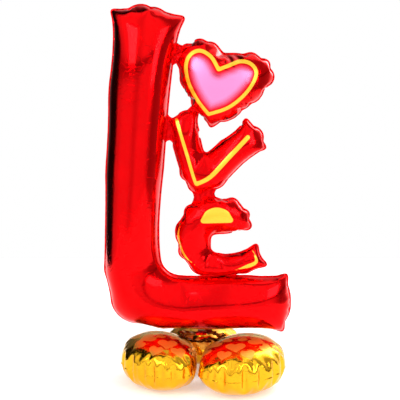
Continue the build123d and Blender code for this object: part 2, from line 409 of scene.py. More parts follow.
class Nodes:
    """Short calls for building one node tree."""

    def __init__(self, tree: bpy.types.NodeTree) -> None:
        """Keeps the tree.

        Args:
            tree: The node tree to build in.
        """
        self.tree = tree

    def add(self, kind: str, **values: object) -> bpy.types.Node:
        """A new node, with its properties set.

        Args:
            kind: The node's type name.
            **values: Its properties.

        Returns:
            The node.
        """
        node = self.tree.nodes.new(kind)
        for name, value in values.items():
            setattr(node, name, value)
        return node

    def join(self, source: bpy.types.NodeSocket, target: bpy.types.NodeSocket) -> None:
        """Links two sockets."""
        self.tree.links.new(source, target)

    def feed(self, socket: bpy.types.NodeSocket, value: object) -> None:
        """Sets a socket to a value, or links it to another socket.

        Args:
            socket: The input socket.
            value: A socket, or a plain value.
        """
        if isinstance(value, bpy.types.NodeSocket):
            self.join(value, socket)
        else:
            socket.default_value = value

    def maths(self, operation: str, *values: object, clamp: bool = False) -> bpy.types.NodeSocket:
        """A Math node's result.

        Args:
            operation: The node's operation.
            *values: Its inputs, as sockets or numbers.
            clamp: Whether the result is kept from 0 to 1.

        Returns:
            The output socket.
        """
        node = self.add("ShaderNodeMath", operation=operation, use_clamp=clamp)
        for socket, value in zip(node.inputs, values):
            self.feed(socket, value)
        return node.outputs[0]

    def spread(
        self, value: object, low: object, high: object, start: float, end: float
    ) -> bpy.types.NodeSocket:
        """A value moved smoothly from one range to another.

        Args:
            value: The input socket.
            low: The input that gives start.
            high: The input that gives end.
            start: The result at low.
            end: The result at high.

        Returns:
            The output socket.
        """
        node = self.add("ShaderNodeMapRange", interpolation_type="SMOOTHSTEP")
        for socket, given in zip(node.inputs, (value, low, high, start, end)):
            self.feed(socket, given)
        return node.outputs[0]

    def blend(self, share: object, first: object, second: object) -> bpy.types.NodeSocket:
        """Two colours mixed.

        Args:
            share: How much of the second there is.
            first: A colour or socket.
            second: A colour or socket.

        Returns:
            The mixed colour's socket.
        """
        node = self.add("ShaderNodeMix", data_type="RGBA")
        for name, value in (("Factor_Float", share), ("A_Color", first), ("B_Color", second)):
            socket = next(item for item in node.inputs if item.identifier == name)
            self.feed(socket, value)
        return next(item for item in node.outputs if item.identifier == "Result_Color")

    def attribute(self, name: str) -> bpy.types.NodeSocket:
        """A number that the piece's points carry."""
        return self.add("ShaderNodeAttribute", attribute_name=name).outputs["Fac"]

    def place(self) -> bpy.types.NodeSocket:
        """The piece's own coordinates."""
        return self.add("ShaderNodeTexCoord").outputs["Object"]


class Effects:
    """Effects that several finishes use, each built once as a node group."""

    def __init__(self) -> None:
        """Builds the groups."""
        self.crinkle = self.build_crinkle()
        self.ink = self.build_ink()

    @staticmethod
    def new_group(name: str, takes: dict[str, str], gives: dict[str, str]) -> bpy.types.NodeTree:
        """An empty group with its sockets.

        Args:
            name: The group's name.
            takes: Each input's name and socket type.
            gives: Each output's name and socket type.

        Returns:
            The group.
        """
        tree = bpy.data.node_groups.new(name, "ShaderNodeTree")
        for way, sockets in (("INPUT", takes), ("OUTPUT", gives)):
            for label, kind in sockets.items():
                tree.interface.new_socket(label, in_out=way, socket_type=kind)
        return tree

    def build_crinkle(self) -> bpy.types.NodeTree:
        """Fine folds and dents in film, as a height and a dullness."""
        takes = {"Vector": "NodeSocketVector", "Scale": "NodeSocketFloat"}
        takes["Folds"] = "NodeSocketFloat"
        gives = {"Height": "NodeSocketFloat", "Dull": "NodeSocketFloat"}
        tree = self.new_group("film_crinkle", takes, gives)
        make = Nodes(tree)
        given = make.add("NodeGroupInput")
        out = make.add("NodeGroupOutput")
        soft = make.add("ShaderNodeTexNoise")
        make.join(given.outputs["Vector"], soft.inputs["Vector"])
        make.join(given.outputs["Scale"], soft.inputs["Scale"])
        soft.inputs["Detail"].default_value = 2.0
        fold = make.add("ShaderNodeTexNoise")
        make.join(given.outputs["Vector"], fold.inputs["Vector"])
        make.join(make.maths("MULTIPLY", given.outputs["Scale"], 2.6), fold.inputs["Scale"])
        fold.inputs["Distortion"].default_value = 0.6
        ridge = make.maths("ABSOLUTE", make.maths("SUBTRACT", fold.outputs["Fac"], 0.5))
        ridge = make.spread(ridge, 0.0, 0.035, 1.0, 0.0)
        ridge = make.maths("MULTIPLY", ridge, given.outputs["Folds"])
        height = make.maths("ADD", soft.outputs["Fac"], ridge)
        make.join(height, out.inputs["Height"])
        make.join(soft.outputs["Fac"], out.inputs["Dull"])
        return tree

    def build_ink(self) -> bpy.types.NodeTree:
        """A printed line's mask from the distance to its middle."""
        takes = {"Distance": "NodeSocketFloat", "Half Width": "NodeSocketFloat"}
        takes["Softness"] = "NodeSocketFloat"
        tree = self.new_group("ink_mask", takes, {"Mask": "NodeSocketFloat"})
        make = Nodes(tree)
        given = make.add("NodeGroupInput")
        out = make.add("NodeGroupOutput")
        inner = make.maths("SUBTRACT", given.outputs["Half Width"], given.outputs["Softness"])
        outer = make.maths("ADD", given.outputs["Half Width"], given.outputs["Softness"])
        mask = make.spread(given.outputs["Distance"], inner, outer, 1.0, 0.0)
        make.join(mask, out.inputs["Mask"])
        return tree


@dataclass(frozen=True)
class Print:
    """Ink on foil: the attribute that says where it is, and how it looks."""

    attribute: str
    colour: tuple[float, float, float, float]
    half_width: float
    softness: float
    metal: float
    dull: float


@dataclass(frozen=True)
class FoilFinish:
    """Metallised film in one colour, with what is printed on it."""

    name: str
    colour: tuple[float, float, float, float]
    deep: tuple[float, float, float, float]
    roughness: float
    crinkle_scale: float
    crinkle_depth: float
    folds: float
    coat: float
    prints: tuple[Print, ...] = ()

    def build(self, effects: Effects) -> bpy.types.Material:
        """Makes the material.

        Args:
            effects: The shared node groups.

        Returns:
            The material.
        """
        material = bpy.data.materials.new(self.name)
        material.use_nodes = True
        make = Nodes(material.node_tree)
        shader = material.node_tree.nodes["Principled BSDF"]
        crinkle = make.add("ShaderNodeGroup", node_tree=effects.crinkle)
        make.join(make.place(), crinkle.inputs["Vector"])
        crinkle.inputs["Scale"].default_value = self.crinkle_scale
        crinkle.inputs["Folds"].default_value = self.folds
        colour = make.blend(crinkle.outputs["Dull"], self.colour, self.deep)
        metal: object = 1.0
        rough = make.spread(
            crinkle.outputs["Dull"], 0.3, 0.7, self.roughness * 0.75, self.roughness * 1.4
        )
        for ink in self.prints:
            mask = make.add("ShaderNodeGroup", node_tree=effects.ink)
            make.join(make.attribute(ink.attribute), mask.inputs["Distance"])
            mask.inputs["Half Width"].default_value = ink.half_width
            mask.inputs["Softness"].default_value = ink.softness
            share = mask.outputs["Mask"]
            colour = make.blend(share, colour, ink.colour)
            metal = self.shift(make, share, metal, ink.metal)
            rough = self.shift(make, share, rough, ink.dull)
        make.feed(shader.inputs["Base Color"], colour)
        make.feed(shader.inputs["Metallic"], metal)
        make.feed(shader.inputs["Roughness"], rough)
        shader.inputs["Coat Weight"].default_value = self.coat
        shader.inputs["Coat Roughness"].default_value = 0.08
        bump = make.add("ShaderNodeBump")
        bump.inputs["Strength"].default_value = 1.0
        bump.inputs["Distance"].default_value = self.crinkle_depth
        make.join(crinkle.outputs["Height"], bump.inputs["Height"])
        make.join(bump.outputs[0], shader.inputs["Normal"])
        return material

    @staticmethod
    def shift(make: Nodes, share: object, value: object, target: float) -> bpy.types.NodeSocket:
        """A number moved towards a target where a mask says so.

        Args:
            make: The tree being built.
            share: The mask's socket.
            value: The number or socket to start from.
            target: The number under the mask.

        Returns:
            The output socket.
        """
        node = make.add("ShaderNodeMix", data_type="FLOAT")
        for name, given in (("Factor_Float", share), ("A_Float", value), ("B_Float", target)):
            socket = next(item for item in node.inputs if item.identifier == name)
            make.feed(socket, given)
        return next(item for item in node.outputs if item.identifier == "Result_Float")


RED = (0.86, 0.0, 0.002, 1)
DEEP_RED = (0.70, 0.0, 0.001, 1)
YELLOW = (0.95, 0.50, 0.02, 1)
PINK = (0.80, 0.22, 0.50, 1)
GOLD = (0.93, 0.50, 0.018, 1)
DEEP_GOLD = (0.76, 0.35, 0.008, 1)
PALE_GOLD = (0.90, 0.42, 0.05, 1)
# Painted shade: the neck foil's gold is darkened here to stand in for the shade under the letters
# and between the lobes.
GOLD_PAINTED_SHADE = (0.28, 0.07, 0.004, 1)
GOLD_DEEPER_PAINTED_SHADE = (0.07, 0.012, 0.001, 1)
# Painted shade: the clear valve film is tinted dark brown to look like film in shade.
FILM_PAINTED_SHADE = (0.30, 0.22, 0.12, 1)
FILM_DEEPER_PAINTED_SHADE = (0.20, 0.13, 0.07, 1)

LETTER_INK = Print("line", YELLOW, 0.0, 0.0008, 0.35, 0.32)
HEART_FILL = Print("fill", PINK, -0.025, 0.018, 0.25, 0.38)
LOBE_HEARTS = Print("hearts", PALE_GOLD, 0.0, 0.0018, 0.85, 0.42)


@dataclass
class Finishes:
    """Every material in the scene."""

    effects: Effects = field(default_factory=Effects)
    made: dict[str, bpy.types.Material] = field(default_factory=dict)

    def foil(self, finish: FoilFinish) -> bpy.types.Material:
        """The material for a finish, made at its first use."""
        if finish.name not in self.made:
            self.made[finish.name] = finish.build(self.effects)
        return self.made[finish.name]


PLAIN_RED = FoilFinish("red_foil", RED, DEEP_RED, 0.13, 9.0, 0.0012, 0.10, 0.08)
LINED_RED = replace(PLAIN_RED, name="red_foil_lined", prints=(LETTER_INK,))
HEART_RED = replace(PLAIN_RED, name="red_foil_heart", prints=(HEART_FILL, LETTER_INK))
PLAIN_GOLD = FoilFinish("gold_foil", GOLD, DEEP_GOLD, 0.12, 14.0, 0.0012, 0.15, 0.06)
PRINTED_GOLD = replace(PLAIN_GOLD, name="gold_foil_hearts", prints=(LOBE_HEARTS,))
# Crumpled neck foil: its dark colours are painted shade, its folds are bump.
CRUSHED_GOLD_PAINTED_SHADE = FoilFinish(
    "gold_foil_crushed_painted_shade", GOLD_PAINTED_SHADE, GOLD_DEEPER_PAINTED_SHADE, 0.2, 30.0, 0.004, 0.5, 0.06
)
# Clear valve film, darkened with painted shade.
CLEAR_FILM_PAINTED_SHADE = FoilFinish("valve_film", FILM_PAINTED_SHADE, FILM_DEEPER_PAINTED_SHADE, 0.3, 30.0, 0.0008, 0.2, 0.2)


# ---- pieces ----


def new_object(name: str, points: np.ndarray, faces: list[tuple[int, ...]]) -> bpy.types.Object:
    """A mesh object at the origin.

    Args:
        name: Its name.
        points: The mesh's points in metres.
        faces: The corners of each face.

    Returns:
        The object, selected and active.
    """
    mesh = bpy.data.meshes.new(name)
    mesh.from_pydata(points.tolist(), [], faces)
    piece = bpy.data.objects.new(name, mesh)
    bpy.context.scene.collection.objects.link(piece)
    choose(piece)
    return piece


def face_outwards(piece: bpy.types.Object) -> None:
    """Turns every face of a closed piece outwards."""
    choose(piece)
    bpy.ops.object.mode_set(mode="EDIT")
    bpy.ops.mesh.select_all(action="SELECT")
    bpy.ops.mesh.normals_make_consistent(inside=False)
    bpy.ops.object.mode_set(mode="OBJECT")


def thicken(piece: bpy.types.Object) -> None:
    """Gives a single film its thickness."""
    wall = piece.modifiers.new("film", "SOLIDIFY")
    wall.thickness = FILM
    wall.offset = 0.0


def choose(piece: bpy.types.Object) -> None:
    """Selects one piece alone and makes it active."""
    bpy.ops.object.select_all(action="DESELECT")
    bpy.context.view_layer.objects.active = piece
    piece.select_set(True)


def joint_box(nodes: tuple[str, ...]) -> tuple[np.ndarray, np.ndarray]:
    """The box round several CAD nodes.

    Args:
        nodes: The nodes' names.

    Returns:
        Its lowest and highest corners.
    """
    corners = [np.array(corner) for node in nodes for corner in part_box(node)]
    return np.min(corners, axis=0), np.max(corners, axis=0)


@dataclass
class Chamber:
    """An air-filled chamber: two foil sheets and the weld round them."""

    name: str
    outline: list[Corner]
    spacing: float
    half_depth: float
    plane: Plane = Plane.UPRIGHT
    plump: float = 1.1
    calm: float = 0.75
    calm_rounds: int = 8
    calm_reach: float = 0.035
    shaped: np.ndarray = field(init=False)
    rim: np.ndarray = field(init=False)
    piece: bpy.types.Object = field(init=False)

    def blow_up(self) -> FlatPattern:
        """Inflates the flat pattern and keeps the shape.

        Returns:
            The flat pattern.
        """
        spacing = self.spacing * 1
        pattern = FlatPattern(rounded_outline(self.outline, spacing), spacing)
        self.shaped = FoilSolver(pattern).inflate()
        self.settle_seam(pattern)
        return pattern

    def settle_seam(self, pattern: FlatPattern) -> None:
        """Evens out the seam's widest ruffles, and carries the film near it along.

        Args:
            pattern: The chamber's flat pattern.
        """
        ring = len(pattern.outline)
        moved = self.shaped[:ring] - pattern.points[:ring]
        even = moved.copy()
        for _ in range(self.calm_rounds):
            even = rounded(even)
        shift = (even - moved) * self.calm
        flat = pattern.points[:, [0, 2]]
        for first in range(0, len(flat), BLOCK):
            some = flat[first : first + BLOCK, None]
            gaps = np.linalg.norm(some - pattern.outline[None], axis=2)
            near = gaps.argmin(1)
            share = np.clip(1 - gaps.min(1) / self.calm_reach, 0, 1)[:, None]
            self.shaped[first : first + BLOCK] += shift[near] * share

    def fit(self, low: np.ndarray, high: np.ndarray) -> None:
        """Brings the inflated shape into a box, weld included.

        Args:
            low: The box's lowest corner.
            high: The box's highest corner.
        """
        room = WELD_WIDTH * 0.8
        natural = float(np.ptp(self.shaped[:, 1]))
        if self.plane is Plane.UPRIGHT and natural * self.plump < high[1] - low[1]:
            spare = (high[1] - low[1] - natural * self.plump) / 2
            low = low + np.array([0, spare, 0])
            high = high - np.array([0, spare, 0])
        for axis in range(3):
            values = self.shaped[:, axis]
            gap = 0.0 if axis == 1 else room
            start, end = values.min(), values.max()
            share = (values - start) / (end - start)
            self.shaped[:, axis] = low[axis] + gap + share * (high[axis] - low[axis] - 2 * gap)

    def weld_direction(self, pattern: FlatPattern, ring: int) -> np.ndarray:
        """The way the flat weld points at each point of the seam.

        Args:
            pattern: The chamber's flat pattern.
            ring: How many points the seam has.

        Returns:
            One unit direction for each seam point.
        """
        total = np.zeros((ring, 3))
        count = np.zeros(ring)
        faces = pattern.faces
        for a, b in PAIRS:
            use = (faces[:, a] < ring) & (faces[:, b] >= ring)
            np.add.at(total, faces[use, a], self.shaped[faces[use, b]])
            np.add.at(count, faces[use, a], 1)
        seam = self.shaped[:ring]
        outward = seam - total / np.maximum(count, 1)[:, None]
        along = np.roll(seam, -1, 0) - np.roll(seam, 1, 0)
        along /= np.linalg.norm(along, axis=1)[:, None]
        outward -= along * (outward * along).sum(1)[:, None]
        for _ in range(2):
            outward = rounded(outward)
        return outward / np.linalg.norm(outward, axis=1)[:, None]

    def make(self, pattern: FlatPattern) -> bpy.types.Object:
        """Builds the mesh, with the flat weld outside the seam.

        Args:
            pattern: The chamber's flat pattern.

        Returns:
            The piece.
        """
        ring = len(pattern.outline)
        outward = self.weld_direction(pattern, ring)
        seam = self.shaped[:ring]
        wave = np.arange(ring) * self.spacing
        ruffle = sum(high * np.sin(wave / long + phase) for high, long, phase in RUFFLES)
        across = np.zeros((ring, 3))
        across[:, 1] = 1.0
        self.rim = seam + outward * WELD_WIDTH + across * ruffle[:, None]
        front = self.shaped.copy()
        front[:ring] = seam - across * WELD_FILM
        count = len(front)
        points = np.vstack([front, seam + across * WELD_FILM, self.rim])
        faces = pattern.faces.copy()
        back = faces[len(faces) // 2 :]
        back[back < ring] += count
        corners = [tuple(int(corner) for corner in face) for face in faces]
        for here in range(ring):
            after = (here + 1) % ring
            corners.append((here, after, count + ring + after, count + ring + here))
            corners.append(
                (count + after, count + here, count + ring + here, count + ring + after)
            )
        if self.plane is Plane.LEVEL:
            points = points[:, [0, 2, 1]]
            self.rim = self.rim[:, [0, 2, 1]]
        self.piece = new_object(self.name, points, corners)
        face_outwards(self.piece)
        self.sharpen(ring, count)
        return self.piece

    def sharpen(self, ring: int, count: int) -> None:
        """Marks the weld's folds sharp and makes the rest smooth.

        Args:
            ring: How many points the seam has.
            count: How many points come before the weld's own.
        """
        mesh = self.piece.data
        mesh.polygons.foreach_set("use_smooth", [True] * len(mesh.polygons))
        pairs = np.array([edge.vertices[:] for edge in mesh.edges])
        kinds = np.where(pairs < ring, 0, np.where(pairs < count, 3, (pairs - count) // ring + 1))
        fold = (kinds[:, 0] == kinds[:, 1]) & (kinds[:, 0] != 3)
        mesh.attributes.new("sharp_edge", "BOOLEAN", "EDGE").data.foreach_set("value", fold)
        crease = mesh.attributes.new("crease_edge", "FLOAT", "EDGE")
        crease.data.foreach_set("value", np.where(fold, 0.9, 0.0))
        smooth = self.piece.modifiers.new("smooth", "SUBSURF")
        smooth.levels = smooth.render_levels = 1

    def paint(self, attribute: str, values: np.ndarray) -> None:
        """Stores one number for each point of the piece.

        Args:
            attribute: The attribute's name.
            values: The numbers.
        """
        layer = self.piece.data.attributes.new(attribute, "FLOAT", "POINT")
        layer.data.foreach_set("value", values.astype(np.float32))

    def mesh_points(self) -> np.ndarray:
        """The piece's points, one row each."""
        flat = np.empty(len(self.piece.data.vertices) * 3, np.float32)
        self.piece.data.vertices.foreach_get("co", flat)
        return flat.reshape(-1, 3).astype(float)


@dataclass(frozen=True)
class InkLine:
    """A printed line: its middle, half its width, and whether it thins at its ends."""

    points: list[Point2]
    half_width: float
    thinned: bool = False

    def gap(self, face: np.ndarray, origin: np.ndarray) -> np.ndarray:
        """How far each point is outside the line's ink.

        Args:
            face: The points, seen from the front.
            origin: The corner that the line is measured from.

        Returns:
            One distance for each point, below zero on the ink.
        """
        line = smooth_line(self.points) + origin
        away = distance_to_line(face, line, closed=False)
        if not self.thinned:
            return away - self.half_width
        ends = np.minimum(
            np.linalg.norm(face - line[0], axis=1), np.linalg.norm(face - line[-1], axis=1)
        )
        return away - self.half_width * np.clip(ends / 0.05, 0.25, 1)


@dataclass
class Letter:
    """One red chamber of the word, with what is printed on it."""

    name: str
    nodes: tuple[str, str]
    body: str
    outline: list[Corner]
    spacing: float
    finish: FoilFinish
    lines: list[InkLine] = field(default_factory=list)
    patch: list[Corner] = field(default_factory=list)
    filled: bool = False

    def build(self, finishes: Finishes) -> Chamber:
        """Inflates, prints and places the chamber.

        Args:
            finishes: The scene's materials.

        Returns:
            The finished chamber.
        """
        low, high = joint_box(self.nodes)
        chamber = Chamber(self.name, self.outline, self.spacing, (high[1] - low[1]) / 2)
        pattern = chamber.blow_up()
        chamber.fit(low, high)
        piece = chamber.make(pattern)
        points = chamber.mesh_points()
        face = points[:, [0, 2]]
        origin = np.array([low[0], low[2]])
        gaps = [line.gap(face, origin) for line in self.lines]
        if self.patch:
            gaps.append(self.signed(face, rounded_outline(self.patch, 0.004) + origin))
        if gaps:
            chamber.paint("line", np.min(gaps, axis=0))
        if self.filled:
            edge = np.vstack([smooth_line(line.points)[:-1] for line in self.lines]) + origin
            chamber.paint("fill", self.signed(face, edge))
        piece.data.materials.append(finishes.foil(self.finish))
        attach(piece, self.body)
        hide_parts(*self.nodes)
        LOG.info("%s: %d points", self.name, len(points))
        return chamber

    @staticmethod
    def signed(face: np.ndarray, edge: np.ndarray) -> np.ndarray:
        """Each point's distance from a closed edge, below zero inside it."""
        gap = distance_to_line(face, edge, closed=True)
        return np.where(inside_outline(face, edge), -gap, gap)


def smooth_line(points: list[Point2], steps: int = 8) -> np.ndarray:
    """A smooth line through points, as many short pieces.

    Args:
        points: The points it goes through.
        steps: How many pieces there are between two points.

    Returns:
        The line's points, one row each.
    """
    given = np.array(points, float)
    if len(given) < 3:
        return given
    closed = np.allclose(given[0], given[-1])
    before = given[-2] if closed else 2 * given[0] - given[1]
    after = given[1] if closed else 2 * given[-1] - given[-2]
    held = np.vstack([before, given, after])
    line = []
    for index in range(1, len(held) - 2):
        a, b, c, d = held[index - 1 : index + 3]
        for step in range(steps):
            t = step / steps
            first = 2 * b + (c - a) * t
            second = (2 * a - 5 * b + 4 * c - d) * t**2
            line.append(0.5 * (first + second + (3 * b - a - 3 * c + d) * t**3))
    line.append(given[-1])
    return np.array(line)


TALL_L = Letter(
    "tall_letter",
    ("letter_l_front_sheet", "letter_l_back_sheet"),
    "letters",
    [
        (-0.338, 1.401, 0.012), (-0.192, 1.440, 0.192), (-0.042, 1.373, 0.012),
        (-0.056, 1.143, 0.900), (-0.081, 0.815, 0.900), (-0.126, 0.423, 0.045),
        (0.118, 0.448, 0.734), (0.356, 0.400, 0.012), (0.383, 0.264, 0.196),
        (0.329, 0.140, 0.012), (0.036, 0.134, 0.900), (-0.166, 0.154, 0.150),
        (-0.350, 0.215, 0.150), (-0.394, 0.424, 0.150), (-0.405, 0.807, 0.900),
        (-0.389, 1.102, 0.900),
    ],
    0.009,
    PLAIN_RED,
)

LETTER_V = Letter(
    "letter_v",
    ("letter_v_front_sheet", "letter_v_back_sheet"),
    "letters",
    [
        (-0.150, 1.002, 0.010), (-0.086, 1.049, 0.071), (-0.028, 1.045, 0.010),
        (-0.006, 0.961, 0.080), (0.005, 0.863, 0.010), (0.064, 0.927, 0.080),
        (0.174, 1.012, 0.010), (0.249, 0.960, 0.086), (0.263, 0.881, 0.010),
        (0.175, 0.800, 0.120), (0.079, 0.705, 0.100), (-0.040, 0.680, 0.070),
        (-0.101, 0.760, 0.080), (-0.137, 0.887, 0.150),
    ],
    0.007,
    LINED_RED,
    lines=[
        InkLine([(0.032, 0.276), (0.062, 0.175), (0.096, 0.060), (0.104, 0.044)], 0.0057),
        InkLine([(0.104, 0.044), (0.156, 0.075), (0.222, 0.146), (0.288, 0.216)], 0.0078),
    ],
)

LETTER_E = Letter(
    "letter_e",
    ("letter_e_front_sheet", "letter_e_back_sheet"),
    "small_e",
    [
        (0.222, 0.528, 0.012), (0.151, 0.504, 0.060), (0.098, 0.490, 0.060),
        (0.042, 0.490, 0.018), (0.050, 0.555, 0.018), (0.122, 0.560, 0.200),
        (0.208, 0.592, 0.030), (0.199, 0.669, 0.060), (0.137, 0.731, 0.060),
        (0.024, 0.741, 0.100), (-0.065, 0.692, 0.080), (-0.116, 0.584, 0.120),
        (-0.094, 0.477, 0.090), (-0.025, 0.389, 0.080), (0.086, 0.375, 0.100),
        (0.184, 0.389, 0.090), (0.263, 0.431, 0.012),
    ],
    0.0065,
    LINED_RED,
    lines=[
        InkLine([(0.019, 0.213), (0.013, 0.158), (0.035, 0.093), (0.075, 0.056)], 0.0042, True),
        InkLine([(0.290, 0.107), (0.303, 0.074), (0.287, 0.058), (0.226, 0.039)], 0.0078, True),
    ],
    patch=[
        (0.088, 0.221, 0.010), (0.114, 0.266, 0.030), (0.154, 0.284, 0.060),
        (0.196, 0.266, 0.030), (0.222, 0.221, 0.010),
    ],
)

HEART = Letter(
    "heart",
    ("heart_front_sheet", "heart_back_sheet"),
    "heart",
    [
        (-0.024, 1.302, 0.080), (-0.095, 1.269, 0.060), (-0.124, 1.206, 0.060),
        (-0.113, 1.099, 0.200), (-0.054, 0.993, 0.200), (0.024, 0.933, 0.010),
        (0.127, 0.955, 0.200), (0.233, 1.037, 0.200), (0.294, 1.135, 0.073),
        (0.266, 1.211, 0.060), (0.201, 1.251, 0.080), (0.138, 1.259, 0.080),
        (0.086, 1.266, 0.015), (0.040, 1.294, 0.080),
    ],
    0.007,
    HEART_RED,
    lines=[
        InkLine(
            [(0.151, 0.214), (0.124, 0.258), (0.085, 0.278), (0.050, 0.262), (0.036, 0.223),
             (0.046, 0.165), (0.078, 0.103), (0.116, 0.054)],
            0.0064,
        ),
        InkLine(
            [(0.116, 0.054), (0.190, 0.082), (0.252, 0.136), (0.284, 0.195), (0.268, 0.230),
             (0.230, 0.241), (0.188, 0.228), (0.151, 0.214)],
            0.0064,
        ),
    ],
    filled=True,
)


@dataclass
class Base:
    """The gold base: three lobes, and crushed foil where they meet."""

    seam_height: float = 0.088
    lobes: tuple[tuple[str, float, float, float, float], ...] = (
        ("left", -0.120, -0.045, 0.182, 0.007),
        ("right", 0.130, -0.075, 0.193, 0.007),
        ("rear", 0.008, 0.110, 0.170, -0.025),
    )
    swell: float = 1.31
    fullness: float = 0.75
    calm: float = 0.15
    hearts: tuple[tuple[float, float, int, float], ...] = (
        (0.074, 0.46, 5, 0.0),
        (0.056, 0.70, 9, 0.5),
        (0.044, 0.20, 3, 0.5),
    )
    rounding: int = 60
    spacing: float = 0.010

    def lobe_outline(self, index: int) -> list[Corner]:
        """A lobe's flat outline: a circle cut off where its neighbours begin.

        Args:
            index: Which lobe.

        Returns:
            The outline's corners, about the lobe's own centre.
        """
        _, x, y, radius, _ = self.lobes[index]
        angle = np.linspace(0, 2 * math.pi, 40, endpoint=False)
        ring = np.stack([np.cos(angle), np.sin(angle)], 1) * radius
        for other, (_, ox, oy, oradius, _) in enumerate(self.lobes):
            if other == index:
                continue
            apart = np.array([ox - x, oy - y])
            length = float(np.linalg.norm(apart))
            towards = apart / length
            reach = (length**2 + radius**2 - oradius**2) / (2 * length) - 0.004
            past = np.maximum(ring @ towards - reach, 0)
            ring = ring - past[:, None] * towards
        ring = even_points(ring, 0.012, closed=True)
        for _ in range(self.rounding):
            ring = rounded(ring)
        ring *= radius / np.abs(ring).max()
        return [(px * self.swell, py * self.swell, 0.003) for px, py in ring.tolist()]

    def build(self, finishes: Finishes) -> list[Chamber]:
        """Inflates and places the lobes.

        Args:
            finishes: The scene's materials.

        Returns:
            The three lobes.
        """
        low, high = joint_box(("base_upper_sheet", "base_lower_sheet"))
        made = []
        for index, (name, x, y, radius, lift) in enumerate(self.lobes):
            corners = self.lobe_outline(index)
            chamber = Chamber(
                f"base_{name}_lobe",
                corners,
                self.spacing,
                (high[2] - low[2]) / 2,
                Plane.LEVEL,
                calm=self.calm,
            )
            pattern = chamber.blow_up()
            flat = np.array([corner[:2] for corner in corners]) / self.swell
            least = np.array([x + flat[:, 0].min(), 0, y + flat[:, 1].min()])
            most = np.array([x + flat[:, 0].max(), 0, y + flat[:, 1].max()])
            least[1], most[1] = low[2] - 0.010, high[2] + lift
            chamber.fit(least, most)
            self.fill_out(chamber, most[1])
            self.flatten(chamber)
            piece = chamber.make(pattern)
            self.print_hearts(chamber, x, y, radius)
            piece.data.materials.append(finishes.foil(PRINTED_GOLD))
            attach(piece, "base")
            if index == 0:
                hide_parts("base_upper_sheet", "base_lower_sheet")
            made.append(chamber)
            LOG.info("%s: %d points", piece.name, len(piece.data.vertices))
        return made

    def fill_out(self, chamber: Chamber, top: float) -> None:
        """Makes the lobe rounder above its seam.

        Args:
            chamber: The lobe, before its mesh is made.
            top: The height of its highest point.
        """
        height = chamber.shaped[:, 1]
        share = np.clip((height - self.seam_height) / (top - self.seam_height), 0, 1)
        fuller = self.seam_height + share**self.fullness * (top - self.seam_height)
        chamber.shaped[:, 1] = np.where(share > 0, fuller, height)

    def flatten(self, chamber: Chamber) -> None:
        """Presses the underside flat on the floor, with a soft edge.

        Args:
            chamber: The lobe, before its mesh is made.
        """
        height = chamber.shaped[:, 1]
        soft, drop, least = 0.008, 0.0005, 0.0004
        lifted = soft * np.log1p(np.exp(np.clip(height / soft, -30, 30)))
        pressed = np.where(height < 4 * soft, lifted - soft * 0.02, height)
        chamber.shaped[:, 1] = np.maximum(pressed - drop, least)

    def print_hearts(self, chamber: Chamber, x: float, y: float, radius: float) -> None:
        """Prints the pale hearts on the upper sheet.

        Args:
            chamber: The lobe.
            x: Its centre.
            y: Its centre.
            radius: Its radius.
        """
        points = chamber.mesh_points()
        plan = points[:, :2] - np.array([x, y])
        nearest = np.full(len(points), 1.0)
        for size, distance, count, offset in self.hearts:
            for step in range(count):
                turn = -math.pi / 2 + (step + offset) * 2 * math.pi / count
                centre = radius * distance * np.array([math.cos(turn), math.sin(turn)])
                lean = turn + math.pi / 2
                spun = plan - centre
                across = spun[:, 0] * math.cos(lean) + spun[:, 1] * math.sin(lean)
                up = -spun[:, 0] * math.sin(lean) + spun[:, 1] * math.cos(lean)
                outline = heart_outline(size, size * 0.9)
                local = np.stack([across, up], 1)
                close = np.abs(local).max(1) < size
                gap = np.full(len(points), 1.0)
                if close.any():
                    some = local[close]
                    far = distance_to_line(some, outline, closed=True)
                    gap[close] = np.where(inside_outline(some, outline), -far, far)
                nearest = np.minimum(nearest, gap)
        nearest[points[:, 2] < self.seam_height] = 1.0
        chamber.paint("hearts", nearest)


